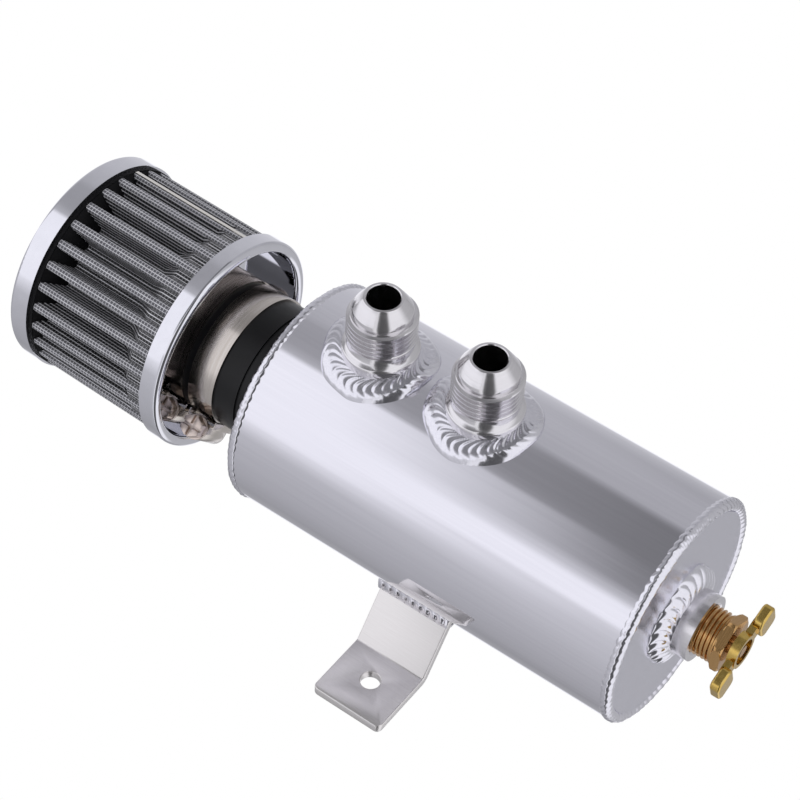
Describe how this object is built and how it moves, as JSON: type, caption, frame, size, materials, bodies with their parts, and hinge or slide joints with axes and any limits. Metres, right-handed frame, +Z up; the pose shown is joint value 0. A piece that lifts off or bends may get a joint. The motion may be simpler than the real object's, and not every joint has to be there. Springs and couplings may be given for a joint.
{
  "type": "oil catch can",
  "caption": "Welded aluminium oil catch can on a bent bracket, with side hose ports, a clamped pleated breather filter and a brass wing drain valve.",
  "frame": {"origin": "Middle of the bracket's hole, on the foot's back face, which lies against the car.", "axes": "+Z up along the tank's axis towards the breather filter, -Y the way the hose ports point and the bracket's bolt leaves, +X from the bracket's foot towards the tank."},
  "size_m": [0.1001, 0.1163, 0.2602],
  "materials": {
    "polished_tube": "polished",
    "turned_aluminium": "machined",
    "plate_aluminium": "satin",
    "weld_bead": "as welded, rippled",
    "brushed_aluminium": "brushed",
    "chrome_cap": "plated, mirror",
    "wire_mesh": "woven mesh over dark gauze",
    "seam_steel": "bright",
    "potting": "moulded",
    "black_rubber": "moulded, smooth",
    "stainless_band": "polished",
    "zinc_screw": "zinc plated",
    "brass_body": "turned",
    "brass_wing": "die cast, polished"
  },
  "bodies": {
    "can": {"tank_tube": "polished_tube", "bottom_end_plate": "plate_aluminium", "top_end_plate": "plate_aluminium", "bottom_end_weld": "weld_bead", "top_end_weld": "weld_bead", "lower_port": "turned_aluminium", "upper_port": "turned_aluminium", "lower_port_weld": "weld_bead", "upper_port_weld": "weld_bead", "bracket": "brushed_aluminium", "near_bracket_weld": "weld_bead", "far_bracket_weld": "weld_bead", "breather_neck": "turned_aluminium", "breather_neck_weld": "weld_bead", "rubber_sleeve": "black_rubber", "filter_neck_stub": "chrome_cap", "filter_base_cap": "chrome_cap", "base_potting": "potting", "filter_end_cap": "chrome_cap", "end_potting": "potting", "pleated_media": "wire_mesh", "seam_strip": "seam_steel", "lower_clamp_band": "stainless_band", "upper_clamp_band": "stainless_band", "lower_clamp_housing": "stainless_band", "upper_clamp_housing": "stainless_band", "drain_boss": "turned_aluminium", "drain_boss_weld": "weld_bead", "valve_body": "brass_body"},
    "valve_stem": {"valve_stem": "brass_body"},
    "valve_wing": {"valve_wing": "brass_wing"},
    "lower_clamp_screw": {"lower_clamp_screw": "zinc_screw"},
    "upper_clamp_screw": {"upper_clamp_screw": "zinc_screw"}
  },
  "joints": [
    {"name": "stem_travel", "type": "slide", "parent": "can", "child": "valve_stem", "axis": [0, 0, -1], "range_m": [0, 0.0025]},
    {"name": "wing_turn", "type": "hinge", "parent": "valve_stem", "child": "valve_wing", "pos_m": [0.04715, -0.05355, -0.0996], "axis": [0, 0, -1], "range_deg": [0, 720]},
    {"name": "lower_screw_turn", "type": "hinge", "parent": "can", "child": "lower_clamp_screw", "pos_m": [0.02712, -0.03563, 0.08833], "axis": [-0.6558, -0.7547, 0.0172], "continuous": true},
    {"name": "upper_screw_turn", "type": "hinge", "parent": "can", "child": "upper_clamp_screw", "pos_m": [0.02744, -0.03563, 0.10063], "axis": [-0.6558, -0.7547, 0.0172], "continuous": true}
  ],
  "couplings": [
    {"joint": "stem_travel", "follows": "wing_turn", "m_per_rad": 0.00019889}
  ]
}
